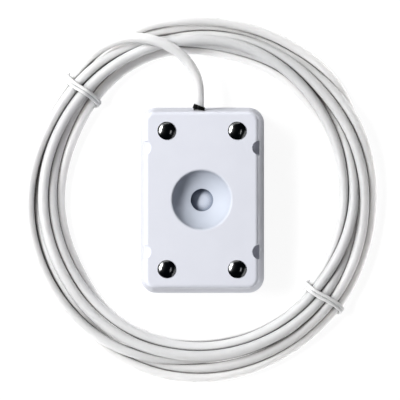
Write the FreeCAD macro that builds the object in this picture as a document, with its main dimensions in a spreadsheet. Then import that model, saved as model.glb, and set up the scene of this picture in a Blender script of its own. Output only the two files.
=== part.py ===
import FreeCAD, Part
import math
import os

import Sketcher

# Water level sensor that lies on its back: a drafted box with four domed contacts and a dish
# on its face, and a long two-wire cable that is wound in a ring around it.
# X runs across the box, Y towards the cable's end and Z out of the face. All sizes in mm.

Vector = FreeCAD.Vector
UP = Vector(0, 0, 1)

doc = FreeCAD.newDocument("WaterSensor")

SIZES = (
    # Housing
    ("body_width", 50.8),
    ("body_length", 76.2),
    ("body_depth", 19.0),
    ("draft_inset", 2.6),
    ("corner_radius", 6.5),
    ("edge_radius", 1.6),
    ("wall", 2.4),
    ("face_wall", 3.2),
    ("cavity_corner", 4.0),
    ("notch_radius", 3.0),
    ("notch_bite", 2.4),
    ("notch_depth", 4.0),
    ("notch_end_inset", 17.1),
    ("notch_wall", 1.2),
    # Dish in the face and the blind mounting hole in its middle
    ("dish_radius", 12.0),
    ("dish_depth", 6.0),
    ("dish_rim_slope", 70.0),
    ("dish_rim_radius", 0.9),
    ("bore_radius", 4.6),
    ("bore_depth", 3.4),
    ("bore_wall", 2.0),
    # Back cover
    ("cover_rim", 1.3),
    ("cover_thickness", 1.8),
    ("cover_gap", 0.15),
    ("lip_height", 2.2),
    ("lip_wall", 1.4),
    ("lip_gap", 0.25),
    # Contacts and what holds them
    ("contact_side_inset", 11.2),
    ("contact_end_inset", 10.2),
    ("dome_radius", 3.65),
    ("dome_height", 1.05),
    ("dome_rim", 0.4),
    ("stud_radius", 1.5),
    ("stud_gap", 0.1),
    ("stud_proud", 0.8),
    ("seal_radius", 2.9),
    ("seal_thickness", 0.9),
    ("pillar_radius", 3.75),
    ("washer_radius", 3.2),
    ("washer_thickness", 0.5),
    ("nut_width", 5.5),
    ("nut_height", 2.4),
    # Circuit board
    ("board_side_gap", 1.6),
    ("board_corner", 2.0),
    ("board_thickness", 1.6),
    ("board_gap", 0.1),
    ("board_clear", 0.4),
    ("copper", 0.15),
    ("track_width", 2.0),
    ("pad_radius", 1.4),
    ("drill_radius", 0.45),
    ("solder_height", 1.1),
    ("solder_tip", 0.5),
    ("joint_x", 5.0),
    ("joint_step", 6.6),
    # Line resistor
    ("resistor_y", 17.0),
    ("resistor_radius", 1.15),
    ("resistor_length", 6.3),
    ("resistor_lift", 0.3),
    ("pin_radius", 0.3),
    ("pin_reach", 2.0),
    # Cable
    ("cable_radius", 2.05),
    ("cable_x", -1.1),
    ("jacket_proud", 0.2),
    ("cable_hole_gap", 0.2),
    ("core_radius", 0.6),
    ("core_spacing", 1.5),
    # Ties on the cable's jacket, outside and inside the wall
    ("strap_gap", 0.05),
    ("strap_thickness", 0.45),
    ("strap_width", 2.4),
    ("strap_clear", 0.15),
    ("head_width", 2.2),
    ("head_height", 2.6),
    # Ring of cable
    ("coil_x", -0.3),
    ("coil_y", 0.5),
    ("coil_radius", 71.4),
    ("coil_pitch", 4.6),
    ("coil_end_radius", 73.0),
    ("coil_flat", 0.976),
    ("coil_tall", 1.02),
    ("layer_step", 4.35),
    # Stripped end of the cable
    ("core_length", 6.0),
    ("bare_length", 3.5),
    ("bare_radius", 0.4),
    # Ties around the ring of cable
    ("tie_strand", 1.4),
    ("tie_thickness", 0.6),
    ("tie_spacing", 1.7),
    ("tie_gap", 0.3),
    ("tie_head", 2.4),
    ("tie_head_reach", 0.8),
)

sheet = doc.addObject("Spreadsheet::Sheet", "Sizes")
for row, (alias, number) in enumerate(SIZES, 1):
    sheet.set(f"A{row}", alias)
    sheet.set(f"B{row}", str(number))
    sheet.setAlias(f"B{row}", alias)
doc.recompute()


def size(alias):
    """A driving dimension's value."""
    return float(sheet.get(alias))


def value(formula):
    """The number that a formula on the sheet's names comes to."""
    return float(sheet.evalExpression(formula))


def bind(feature, **formulas):
    """Ties a feature's properties to the sheet; two underscores stand for a dot."""
    for name, formula in formulas.items():
        feature.setExpression(name.replace("__", "."), formula)
    return feature


# Formulas that several pieces share
BOARD_BACK = (
    "(Sizes.body_depth - Sizes.dish_depth - Sizes.bore_depth - Sizes.bore_wall"
    " + Sizes.board_gap)"
)
BOARD_FACE = f"({BOARD_BACK} + Sizes.board_thickness)"
COPPER_BACK = f"({BOARD_BACK} - Sizes.copper)"
WASHER_BACK = f"({COPPER_BACK} - Sizes.washer_thickness)"
NUT_BACK = f"({WASHER_BACK} - Sizes.nut_height)"
FACE_INSIDE = "(Sizes.body_depth - Sizes.face_wall)"
SLOPE = "(Sizes.draft_inset / Sizes.body_depth)"
STUD_HOLE = "(Sizes.stud_radius + Sizes.stud_gap)"
CONTACT_X = "(Sizes.body_width / 2 - Sizes.contact_side_inset)"
CONTACT_Y = "(Sizes.body_length / 2 - Sizes.contact_end_inset)"
JOINT_Y = f"({CONTACT_Y} - Sizes.joint_step)"
CABLE_HEIGHT = f"(({BOARD_FACE} + {FACE_INSIDE}) / 2)"
STRAP_REACH = "(Sizes.cable_radius + Sizes.strap_gap + Sizes.strap_thickness)"
INNER_TIE_Y = (
    f"(Sizes.body_length / 2 - Sizes.wall - {SLOPE} * ({CABLE_HEIGHT} + {STRAP_REACH})"
    " - Sizes.strap_clear - Sizes.strap_width)"
)
JACKET_END_Y = f"({INNER_TIE_Y} - Sizes.jacket_proud)"
CORNERS = {"top_left": (-1, 1), "top_right": (1, 1), "bottom_left": (-1, -1), "bottom_right": (1, -1)}
SIDES = {"left": -1, "right": 1}

# Helpers for bodies that are made of sketches


def new_body(name):
    body = doc.addObject("PartDesign::Body", name)
    body.Label = name
    return body


def attach(feature, body, plane="XY", **offsets):
    """Puts a sketch or primitive on its own body's plane, moved by formulas."""
    origin = next(f for f in body.Origin.OriginFeatures if f.Role == plane + "_Plane")
    feature.AttachmentSupport = [(origin, "")]
    feature.MapMode = "FlatFace"
    for axis, formula in offsets.items():
        feature.setExpression("AttachmentOffset.Base." + axis, formula)
    return feature


def new_sketch(body, name, plane="XY", **offsets):
    return attach(body.newObject("Sketcher::SketchObject", name), body, plane, **offsets)


def dimension(sketch, name, formula, kind, *where):
    """Adds a named dimension to a sketch and ties it to the sheet."""
    index = sketch.addConstraint(Sketcher.Constraint(kind, *where, abs(value(formula))))
    sketch.renameConstraint(index, name)
    sketch.setExpression("Constraints." + name, formula)


def add_round_rectangle(sketch, tag, width, length, radius):
    """A rectangle with round corners, centred on the sketch's origin."""
    x, y, r = value(width) / 2, value(length) / 2, value(radius)
    ends = (
        ((r - x, y), (x - r, y)),
        ((x, y - r), (x, r - y)),
        ((x - r, -y), (r - x, -y)),
        ((-x, r - y), (-x, y - r)),
    )
    sides = [
        sketch.addGeometry(Part.LineSegment(Vector(*a, 0), Vector(*b, 0))) for a, b in ends
    ]
    corners = []
    for turn, (sx, sy) in enumerate(((1, 1), (1, -1), (-1, -1), (-1, 1))):
        circle = Part.Circle(Vector(sx * (x - r), sy * (y - r), 0), UP, r)
        first = math.radians(-90 * turn)
        corners.append(sketch.addGeometry(Part.ArcOfCircle(circle, first, first + math.pi / 2)))
    rules = []
    for turn, corner in enumerate(corners):
        rules.append(Sketcher.Constraint("Tangent", sides[turn], 2, corner, 2))
        rules.append(Sketcher.Constraint("Tangent", sides[(turn + 1) % 4], 1, corner, 1))
        if turn:
            rules.append(Sketcher.Constraint("Equal", corners[0], corner))
    rules.append(Sketcher.Constraint("Horizontal", sides[2]))
    rules.append(Sketcher.Constraint("Vertical", sides[3]))
    rules.append(Sketcher.Constraint("Symmetric", sides[0], 1, sides[0], 2, -2))
    rules.append(Sketcher.Constraint("Symmetric", sides[1], 1, sides[1], 2, -1))
    sketch.addConstraint(rules)
    dimension(sketch, tag + "Width", width, "DistanceX", sides[3], 1, sides[1], 1)
    dimension(sketch, tag + "Length", length, "DistanceY", sides[2], 1, sides[0], 1)
    dimension(sketch, tag + "Radius", radius, "Radius", corners[0])


def add_circle(sketch, tag, radius, x="", y="", sx=1, sy=1):
    """A circle whose centre is at formulas x and y, mirrored where sx or sy is negative."""
    middle = Vector(sx * value(x) if x else 0, sy * value(y) if y else 0, 0)
    index = sketch.addGeometry(Part.Circle(middle, UP, value(radius)))
    for axis, formula, sign, line in (("X", x, sx, -2), ("Y", y, sy, -1)):
        if not formula:
            sketch.addConstraint(Sketcher.Constraint("PointOnObject", index, 3, line))
            continue
        ends = (-1, 1, index, 3) if sign > 0 else (index, 3, -1, 1)
        dimension(sketch, tag + axis, formula, "Distance" + axis, *ends)
    dimension(sketch, tag + "Radius", radius, "Radius", index)


def add_four_circles(sketch, radius, x, y):
    for name, (sx, sy) in CORNERS.items():
        add_circle(sketch, name.title().replace("_", ""), radius, x, y, sx, sy)


def pad(body, sketch, name, length, **formulas):
    feature = body.newObject("PartDesign::Pad", name)
    feature.Profile = sketch
    bind(feature, Length=length, **formulas)
    doc.recompute()
    return feature


def pocket(body, sketch, name, length, forwards=False, **formulas):
    """Cuts against the sketch's normal, or along it where forwards is set."""
    before = body.Shape.Volume
    feature = body.newObject("PartDesign::Pocket", name)
    feature.Profile = sketch
    feature.Reversed = forwards
    bind(feature, Length=length, **formulas)
    doc.recompute()
    if not body.Shape.Volume < before - 0.01:
        raise RuntimeError(name + " cuts nothing")
    return feature


def round_edges(body, name, base, radius, chosen):
    """Fillets the edges of a feature that a test picks."""
    edges = [f"Edge{i}" for i, edge in enumerate(base.Shape.Edges, 1) if chosen(edge)]
    feature = body.newObject("PartDesign::Fillet", name)
    feature.Base = (base, edges)
    bind(feature, Radius=radius)
    doc.recompute()
    return feature


def primitive(body, kind, name, z, **formulas):
    """A PartDesign primitive that stands on the XY plane at a height."""
    feature = attach(body.newObject("PartDesign::" + kind, name), body, z=z)
    bind(feature, **formulas)
    doc.recompute()
    return feature


def flat_at(edge, height):
    return all(abs(vertex.Z - height) < 1e-4 for vertex in edge.Vertexes)


# Housing: one moulded shell, open at its back

def make_housing():
    body = new_body("housing")
    outline = new_sketch(body, "HousingOutline")
    add_round_rectangle(
        outline, "Outer", "Sizes.body_width", "Sizes.body_length", "Sizes.corner_radius"
    )
    shell = pad(body, outline, "Shell", "Sizes.body_depth", TaperAngle=f"-atan({SLOPE})")
    round_edges(
        body, "FaceEdge", shell, "Sizes.edge_radius", lambda e: flat_at(e, size("body_depth"))
    )
    opening = new_sketch(body, "CavityOutline")
    add_round_rectangle(
        opening,
        "Cavity",
        "Sizes.body_width - 2 * Sizes.wall",
        "Sizes.body_length - 2 * Sizes.wall",
        "Sizes.cavity_corner",
    )
    pocket(body, opening, "Cavity", FACE_INSIDE, True, TaperAngle=f"-atan({SLOPE})")
    rebate = new_sketch(body, "RebateOutline")
    add_round_rectangle(
        rebate,
        "Rebate",
        "Sizes.body_width - 2 * Sizes.cover_rim",
        "Sizes.body_length - 2 * Sizes.cover_rim",
        "Sizes.corner_radius - Sizes.cover_rim",
    )
    pocket(body, rebate, "CoverRebate", "Sizes.cover_thickness", True)
    pillars = new_sketch(body, "PillarOutlines", z=BOARD_FACE)
    add_four_circles(pillars, "Sizes.pillar_radius", CONTACT_X, CONTACT_Y)
    pad(body, pillars, "Pillars", f"{FACE_INSIDE} - {BOARD_FACE} + Sizes.face_wall / 4")
    make_dish(body)
    make_face_holes(body)
    entry = new_sketch(body, "CableHole", "XZ", z="-Sizes.body_length / 2")
    add_circle(
        entry,
        "Entry",
        "Sizes.cable_radius + Sizes.cable_hole_gap",
        "abs(Sizes.cable_x)",
        CABLE_HEIGHT,
        sx=math.copysign(1, size("cable_x")),
    )
    pocket(body, entry, "CableEntry", "2 * Sizes.wall + Sizes.draft_inset", True)
    return body


def make_dish(body):
    """The dish in the face, with a blind hole in its middle and a boss around both inside."""
    boss = "(Sizes.bore_radius + Sizes.bore_wall)"
    bowl_floor = "(Sizes.body_depth - Sizes.dish_depth)"
    primitive(
        body,
        "AdditiveCone",
        "DishBoss",
        f"{bowl_floor} - Sizes.bore_wall",
        Radius1=boss,
        Radius2="Sizes.dish_radius + Sizes.bore_wall / 2",
        Height=f"{FACE_INSIDE} - {bowl_floor} + Sizes.bore_wall + Sizes.face_wall / 4",
    )
    primitive(
        body,
        "AdditiveCylinder",
        "BoreBoss",
        f"{BOARD_BACK} - Sizes.board_gap",
        Radius=boss,
        Height="Sizes.bore_depth + Sizes.bore_wall / 2",
    )
    steep = "tan(Sizes.dish_rim_slope)"
    rise = (
        f"(Sizes.dish_depth ^ 2 / ({steep} * (Sizes.dish_radius ^ 2 - Sizes.bore_radius ^ 2)"
        " / Sizes.dish_radius - 2 * Sizes.dish_depth))"
    )
    tall = f"sqrt({steep} * {rise} * Sizes.dish_radius + {rise} ^ 2)"
    wide = f"({tall} / sqrt({steep} * {rise} / Sizes.dish_radius))"
    bowl = primitive(
        body,
        "SubtractiveEllipsoid",
        "Bowl",
        f"Sizes.body_depth + {rise}",
        Radius1=tall,
        Radius2=wide,
        Radius3=wide,
        Angle1="-90",
        Angle2="90",
    )
    round_edges(
        body,
        "DishRim",
        bowl,
        "Sizes.dish_rim_radius",
        lambda e: flat_at(e, size("body_depth")) and e.BoundBox.XMax < 1.1 * size("dish_radius"),
    )
    primitive(
        body,
        "SubtractiveCylinder",
        "MountingBore",
        f"{bowl_floor} - Sizes.bore_depth",
        Radius="Sizes.bore_radius",
        Height="Sizes.bore_depth + Sizes.dish_depth",
    )


def make_face_holes(body):
    """Stud holes, their seal seats and the four half-round notches in the face's long edges."""
    studs = new_sketch(body, "StudHoles", z="Sizes.body_depth")
    add_four_circles(studs, STUD_HOLE, CONTACT_X, CONTACT_Y)
    pocket(body, studs, "StudPassages", "Sizes.body_depth")
    seats = new_sketch(body, "SealSeats", z="Sizes.body_depth")
    add_four_circles(
        seats, "Sizes.seal_radius + Sizes.stud_gap", CONTACT_X, CONTACT_Y
    )
    pocket(body, seats, "SealSeating", "Sizes.seal_thickness")
    edge = "Sizes.body_width / 2 - Sizes.draft_inset"
    notch_y = "(Sizes.body_length / 2 - Sizes.notch_end_inset)"
    backing = "(Sizes.notch_bite + Sizes.notch_wall - Sizes.wall / 4)"
    for corner, (sx, sy) in CORNERS.items():
        block = primitive(
            body,
            "AdditiveBox",
            "NotchBacking" + corner.title().replace("_", ""),
            "Sizes.body_depth - Sizes.notch_depth - Sizes.notch_wall",
            Length=backing,
            Width="2 * (Sizes.notch_radius + Sizes.notch_wall)",
            Height="Sizes.notch_depth + Sizes.notch_wall - Sizes.face_wall / 2",
        )
        near = f"({edge} - Sizes.notch_bite - Sizes.notch_wall)"
        low_x = near if sx > 0 else f"-{near} - {backing}"
        bind(
            block,
            AttachmentOffset__Base__x=low_x,
            AttachmentOffset__Base__y=f"{sy} * {notch_y} - Sizes.notch_radius - Sizes.notch_wall",
        )
        doc.recompute()
    notches = new_sketch(body, "NotchOutlines", z="Sizes.body_depth")
    add_four_circles(
        notches,
        "Sizes.notch_radius",
        f"{edge} - Sizes.notch_bite + Sizes.notch_radius",
        notch_y,
    )
    pocket(body, notches, "Notches", "Sizes.notch_depth")


# Back cover: a plate in the housing's rebate, with a lip that centres it in the cavity

def make_back_cover():
    body = new_body("back_cover")
    plate = new_sketch(body, "CoverOutline")
    inset = "2 * (Sizes.cover_rim + Sizes.cover_gap)"
    add_round_rectangle(
        plate,
        "Plate",
        f"Sizes.body_width - {inset}",
        f"Sizes.body_length - {inset}",
        "Sizes.corner_radius - Sizes.cover_rim - Sizes.cover_gap",
    )
    pad(body, plate, "Plate", "Sizes.cover_thickness")
    lip = new_sketch(body, "LipOutline", z="Sizes.cover_thickness")
    drawn_in = f"{SLOPE} * (Sizes.cover_thickness + Sizes.lip_height)"
    outside = f"(Sizes.wall + Sizes.lip_gap + {drawn_in})"
    for tag, inset, radius in (
        ("Outer", f"2 * {outside}", "Sizes.cavity_corner"),
        ("Inner", f"2 * ({outside} + Sizes.lip_wall)", "Sizes.cavity_corner / 2"),
    ):
        add_round_rectangle(
            lip, tag, f"Sizes.body_width - {inset}", f"Sizes.body_length - {inset}", radius
        )
    pad(body, lip, "Lip", "Sizes.lip_height")
    return body


# Part primitives, fused and cut

def solid(kind, name, x="0", y="0", z="0", **formulas):
    """A Part primitive whose sizes and place are formulas."""
    feature = doc.addObject("Part::" + kind, name)
    bind(feature, Placement__Base__x=x, Placement__Base__y=y, Placement__Base__z=z, **formulas)
    return feature


def lay_along(feature, axis):
    """Turns a primitive that stands along Z to lie along X or Y."""
    turned = Vector(0, 1, 0) if axis == "X" else Vector(-1, 0, 0)
    feature.Placement.Rotation = FreeCAD.Rotation(turned, 90)
    return feature


def fuse(name, *shapes):
    feature = doc.addObject("Part::MultiFuse", name)
    feature.Shapes = list(shapes)
    return feature


def cut(name, base, *tools):
    feature = doc.addObject("Part::Cut", name)
    feature.Base = base
    feature.Tool = tools[0] if len(tools) == 1 else fuse(name + "_tools", *tools)
    return feature


def group(name, pieces):
    feature = doc.addObject("Part::Compound", name)
    feature.Links = pieces
    return feature


def ring(name, outer, inner, height, x, y, z):
    return cut(
        name,
        solid("Cylinder", name + "_outside", x, y, z, Radius=outer, Height=height),
        solid("Cylinder", name + "_bore", x, y, z, Radius=inner, Height=height),
    )


def make_contact(name, sx, sy):
    """A domed stud: it seals on the face, and its shank reaches through the board."""
    x, y = f"{sx} * {CONTACT_X}", f"{sy} * {CONTACT_Y}"
    ball = "((Sizes.dome_radius ^ 2 + Sizes.dome_height ^ 2) / (2 * Sizes.dome_height))"
    sunk = f"({ball} - Sizes.dome_height)"
    rim_top = "Sizes.body_depth + Sizes.dome_rim"
    cap = solid("Sphere", name + "_cap", x, y, f"{rim_top} - {sunk}", Radius=ball)
    bind(cap, Angle1=f"asin({sunk} / {ball})")
    rim = solid("Cylinder", name + "_rim", x, y, "Sizes.body_depth")
    bind(rim, Radius="Sizes.dome_radius", Height="Sizes.dome_rim")
    end = f"({NUT_BACK} - Sizes.stud_proud)"
    shank = solid("Cylinder", name + "_shank", x, y, end, Radius="Sizes.stud_radius")
    bind(shank, Height=f"Sizes.body_depth + Sizes.dome_rim / 2 - {end}")
    return fuse("contact_" + name, cap, rim, shank)


def make_nut(name, x, y):
    hexagon = solid("Prism", name + "_hexagon", x, y, NUT_BACK, Height="Sizes.nut_height")
    bind(hexagon, Circumradius="Sizes.nut_width / 2 / cos(30)")
    bore = solid("Cylinder", name + "_thread", x, y, NUT_BACK, Radius=STUD_HOLE)
    return cut(name, hexagon, bind(bore, Height="Sizes.nut_height"))


def make_contact_fastenings():
    seals, washers, nuts = [], [], []
    for corner, (sx, sy) in CORNERS.items():
        x, y = f"{sx} * {CONTACT_X}", f"{sy} * {CONTACT_Y}"
        seat = "Sizes.body_depth - Sizes.seal_thickness"
        seals.append(
            ring("seal_" + corner, "Sizes.seal_radius", STUD_HOLE, "Sizes.seal_thickness", x, y, seat)
        )
        washers.append(
            ring(
                "washer_" + corner,
                "Sizes.washer_radius",
                STUD_HOLE,
                "Sizes.washer_thickness",
                x,
                y,
                WASHER_BACK,
            )
        )
        nuts.append(make_nut("nut_" + corner, x, y))
    return [
        group("contact_seals", seals),
        group("contact_washers", washers),
        group("contact_nuts", nuts),
    ]


# Circuit board that the four studs hold, with its copper, solder and line resistor

PIN_X = "(Sizes.resistor_length / 2 + Sizes.pin_reach)"


def make_board():
    body = new_body("circuit_board")
    outline = new_sketch(body, "BoardOutline", z=BOARD_BACK)
    inset = f"2 * (Sizes.wall + {SLOPE} * {BOARD_FACE} + Sizes.board_side_gap)"
    width, length = f"Sizes.body_width - {inset}", f"Sizes.body_length - {inset}"
    add_round_rectangle(outline, "Board", width, length, "Sizes.board_corner")
    add_circle(outline, "Middle", "Sizes.bore_radius + Sizes.bore_wall + Sizes.board_clear")
    add_four_circles(outline, STUD_HOLE, CONTACT_X, CONTACT_Y)
    for side, sign in SIDES.items():
        name = side.title()
        add_circle(
            outline, name + "Wire", "Sizes.drill_radius", "Sizes.joint_x", JOINT_Y, sign
        )
        add_circle(
            outline, name + "Pin", "Sizes.drill_radius", PIN_X, "Sizes.resistor_y", sign, -1
        )
    pad(body, outline, "Board", "Sizes.board_thickness")
    return body


def make_track(side, sign):
    """Copper on the board's back: two stud lands, the land of a wire and of the resistor."""
    name = "track_" + side

    def disc(tag, radius, x, y):
        piece = solid("Cylinder", f"{name}_{tag}", x, y, COPPER_BACK, Radius=radius)
        return bind(piece, Height="Sizes.copper")

    def strip(tag, x, y, width, length):
        piece = solid("Box", f"{name}_{tag}", x, y, COPPER_BACK, Height="Sizes.copper")
        return bind(piece, Width=length, Length=width)

    stud_x = f"{sign} * {CONTACT_X}"
    half = "Sizes.track_width / 2"
    places = (
        ("wire", "Sizes.joint_x", JOINT_Y),
        ("pin", PIN_X, "-Sizes.resistor_y"),
    )
    copper = [
        disc("upper_land", "Sizes.washer_radius", stud_x, CONTACT_Y),
        disc("lower_land", "Sizes.washer_radius", stud_x, f"-{CONTACT_Y}"),
        strip("rail", f"{stud_x} - {half}", f"-{CONTACT_Y}", "Sizes.track_width", f"2 * {CONTACT_Y}"),
    ]
    holes = [
        disc("upper_hole", STUD_HOLE, stud_x, CONTACT_Y),
        disc("lower_hole", STUD_HOLE, stud_x, f"-{CONTACT_Y}"),
    ]
    for tag, x, y in places:
        near = f"{sign} * {x}" if sign > 0 else stud_x
        copper.append(disc(tag + "_land", "Sizes.pad_radius", f"{sign} * {x}", y))
        copper.append(
            strip(tag + "_strip", near, f"{y} - {half}", f"{CONTACT_X} - {x}", "Sizes.track_width")
        )
        holes.append(disc(tag + "_hole", "Sizes.drill_radius", f"{sign} * {x}", y))
    return cut(name, fuse(name + "_copper", *copper), *holes)


def make_solder_joints():
    cones = []
    for side, sign in SIDES.items():
        for tag, x, y in (
            ("wire", "Sizes.joint_x", JOINT_Y),
            ("pin", PIN_X, "-Sizes.resistor_y"),
        ):
            cone = solid(
                "Cone",
                f"solder_{side}_{tag}",
                f"{sign} * {x}",
                y,
                f"{COPPER_BACK} - Sizes.solder_height",
                Height="Sizes.solder_height",
                Radius1="Sizes.solder_tip",
                Radius2="Sizes.pad_radius",
            )
            cones.append(cone)
    return group("solder_joints", cones)


def make_resistor():
    """An axial resistor across the two tracks, which tells the monitor that the line is whole."""
    height = f"({BOARD_FACE} + Sizes.resistor_lift + Sizes.resistor_radius)"
    y = "-Sizes.resistor_y"
    barrel = solid("Cylinder", "resistor_barrel", "-Sizes.resistor_length / 2", y, height)
    bind(barrel, Radius="Sizes.resistor_radius", Height="Sizes.resistor_length")
    wire = solid("Cylinder", "resistor_wire", f"-{PIN_X}", y, height, Radius="Sizes.pin_radius")
    bind(wire, Height=f"2 * {PIN_X}")
    pieces = [lay_along(barrel, "X"), lay_along(wire, "X")]
    for side, sign in SIDES.items():
        x = f"{sign} * {PIN_X}"
        elbow = solid("Sphere", f"resistor_{side}_elbow", x, y, height, Radius="Sizes.pin_radius")
        pin = solid("Cylinder", f"resistor_{side}_pin", x, y, COPPER_BACK)
        bind(pin, Radius="Sizes.pin_radius", Height=f"{height} - {COPPER_BACK}")
        pieces += [elbow, pin]
    return fuse("line_resistor", *pieces)


# Cable ties on the jacket, on both sides of the wall that it passes

def make_strap(name, y, head_x, head_z):
    """A strap around the cable, whose buckle's low left corner is at head_x, head_z from it."""
    inner = "Sizes.cable_radius + Sizes.strap_gap"

    def along_cable(tag, radius):
        drum = solid("Cylinder", f"{name}_{tag}", "Sizes.cable_x", y, CABLE_HEIGHT)
        bind(drum, Radius=radius, Height="Sizes.strap_width")
        return lay_along(drum, "Y")

    band = along_cable("band", f"{inner} + Sizes.strap_thickness")
    head = solid("Box", name + "_head", f"Sizes.cable_x + {head_x}", y)
    bind(head, Placement__Base__z=f"{CABLE_HEIGHT} + {head_z}")
    bind(head, Length="Sizes.head_width", Width="Sizes.strap_width", Height="Sizes.head_height")
    return cut(name, fuse(name + "_strap", band, head), along_cable("bore", inner))


def make_straps():
    outer_wall = f"(Sizes.body_length / 2 - {SLOPE} * ({CABLE_HEIGHT} - {STRAP_REACH}))"
    return [
        make_strap(
            "exit_tie",
            f"{outer_wall} + Sizes.strap_clear",
            "-Sizes.head_width - Sizes.cable_radius / 3",
            "Sizes.cable_radius / 3",
        ),
        make_strap("inner_tie", INNER_TIE_Y, "Sizes.cable_radius", "-Sizes.head_height / 2"),
    ]


# Tubes along runs and arcs

def feature_of(name, shape):
    feature = doc.addObject("Part::Feature", name)
    feature.Shape = shape
    return feature


def rounded_path(points, share=0.45):
    """Straight runs joined by tangent arcs, each as large as its two runs allow."""
    edges = []
    radii = []
    start = points[0]
    for before, corner, after in zip(points, points[1:], points[2:]):
        back, ahead = (before - corner).normalize(), (after - corner).normalize()
        reach = share * min((before - corner).Length, (after - corner).Length)
        half_turn = (math.pi - back.getAngle(ahead)) / 2
        radius = reach / math.tan(half_turn)
        radii.append(radius)
        enter, leave = corner + back * reach, corner + ahead * reach
        inward = (back + ahead).normalize()
        middle = corner + inward * (radius / math.cos(half_turn) - radius)
        edges.append(Part.LineSegment(start, enter).toShape())
        edges.append(Part.Arc(enter, middle, leave).toShape())
        start = leave
    edges.append(Part.LineSegment(start, points[-1]).toShape())
    return Part.Wire(edges), radii


def tube(name, wire, radius, start, direction):
    """A round tube along a wire, whose volume is compared with its section times its length."""
    rim = Part.Wire(Part.makeCircle(radius, start, direction))
    shape = wire.makePipeShell([rim], True, False)
    expected = math.pi * radius**2 * wire.Length
    if abs(shape.Volume / expected - 1) > 0.01:
        raise RuntimeError(f"{name} has {shape.Volume:.0f} of {expected:.0f} cubic mm")
    return feature_of(name, shape)


# Ring of cable: it spirals in for three turns, climbs a layer, and spirals out

COIL_START = 140
COIL_END = 114 + 360 * 6
QUARTER = 90
LOWER_QUARTERS = 12
LOWER_END = COIL_START + QUARTER * LOWER_QUARTERS
REVERSAL = LOWER_END + QUARTER
UPPER_START = REVERSAL + QUARTER
DROP_START = COIL_END - QUARTER


def smooth(t):
    t = min(1.0, max(0.0, t))
    return t * t * (3 - 2 * t)


def coil_point(angle):
    """The cable's centre at an angle in degrees, which runs on through all its turns."""
    inmost = size("coil_radius") - size("coil_pitch") * (REVERSAL - COIL_START) / 360
    if angle < REVERSAL:
        radius = size("coil_radius") - size("coil_pitch") * (angle - COIL_START) / 360
    else:
        share = (angle - REVERSAL) / (COIL_END - REVERSAL)
        radius = inmost + (size("coil_end_radius") - inmost) * share
    climb = smooth((angle - LOWER_END) / (UPPER_START - LOWER_END))
    drop = smooth((angle - DROP_START) / (COIL_END - DROP_START))
    turn = math.radians(angle)
    return Vector(
        size("coil_x") + radius * size("coil_flat") * math.cos(turn),
        size("coil_y") + radius * size("coil_tall") * math.sin(turn),
        low_layer() + size("layer_step") * (climb - drop),
    )


def low_layer():
    """The lower layer's height, which leaves room for the ties below it."""
    return size("tie_thickness") + size("tie_gap") + size("cable_radius")


def coil_direction(angle):
    step = 0.5
    return (coil_point(angle + step) - coil_point(angle - step)).normalize()


def flat(direction):
    return Vector(direction.x, direction.y, 0).normalize()


def tangent_arc(start, control, end):
    """The arc from start to end whose end tangents meet at the control point."""
    chord = (start + end) * 0.5
    turn = (control - start).getAngle(end - control)
    sagitta = (end - start).Length / 2 * math.tan(turn / 4)
    return Part.Arc(start, chord + (control - chord).normalize() * sagitta, end).toShape()


def biarc(start, along_start, end, along_end):
    """Two arcs that leave start and reach end in the given directions."""
    chord = end - start
    both = along_start + along_end
    a, b, c = both.dot(both) - 4, -2 * chord.dot(both), chord.dot(chord)
    reach = (-b - math.sqrt(b * b - 4 * a * c)) / (2 * a)
    near, far = start + along_start * reach, end - along_end * reach
    middle = (near + far) * 0.5
    return [tangent_arc(start, near, middle), tangent_arc(middle, far, end)]


def make_coil():
    knots = [COIL_START + QUARTER * i for i in range(LOWER_QUARTERS + 3)]
    upper_knots = round((DROP_START - UPPER_START) / QUARTER)
    step = (DROP_START - UPPER_START) / upper_knots
    knots += [UPPER_START + step * (i + 1) for i in range(upper_knots)] + [COIL_END]
    level = (COIL_START, LOWER_END, UPPER_START, DROP_START, COIL_END)
    points = [coil_point(angle) for angle in knots]
    ways = [
        flat(coil_direction(angle)) if angle in level else coil_direction(angle)
        for angle in knots
    ]
    diameter = 2 * size("cable_radius")
    first = points[0] - ways[0] * diameter
    last = points[-1] + ways[-1] * diameter
    edges = [Part.LineSegment(first, points[0]).toShape()]
    for i in range(len(points) - 1):
        edges += biarc(points[i], ways[i], points[i + 1], ways[i + 1])
    edges.append(Part.LineSegment(points[-1], last).toShape())
    wire = Part.Wire(edges)
    feature = tube("cable_coil", wire, size("cable_radius"), first, ways[0])
    return feature, wire, (first, ways[0]), (last, ways[-1])


def least_self_gap(wire, radius):
    """The smallest gap between two turns, measured on points along the wire."""
    points = wire.discretize(Distance=1.0)
    apart = int(20 * radius)
    return min(
        (points[i] - points[j]).Length - 2 * radius
        for i in range(len(points))
        for j in range(i + apart, len(points))
    )


# Free stretch of the cable, from inside the wall over the ring and down to its outer turn

LEAD_POINTS = (
    (-3.9, 52.9, 12.9),
    (-9.9, 60.6, 12.9),
    (-19.6, 64.6, 12.2),
    (-30.0, 66.2, 9.8),
    (-39.4, 63.2, 6.1),
)


def make_lead(coil_end, direction):
    entry_run = 11.2
    last_run = 9.0
    inside = Vector(size("cable_x"), value(JACKET_END_Y), value(CABLE_HEIGHT))
    points = [inside, inside + Vector(0, entry_run, 0)]
    points += [Vector(*point) for point in LEAD_POINTS]
    points += [coil_end - direction * last_run, coil_end]
    wire, radii = rounded_path(points)
    print("lead radii", [round(radius, 1) for radius in radii])
    return tube("cable_lead", wire, size("cable_radius"), inside, Vector(0, 1, 0)), wire


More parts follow.
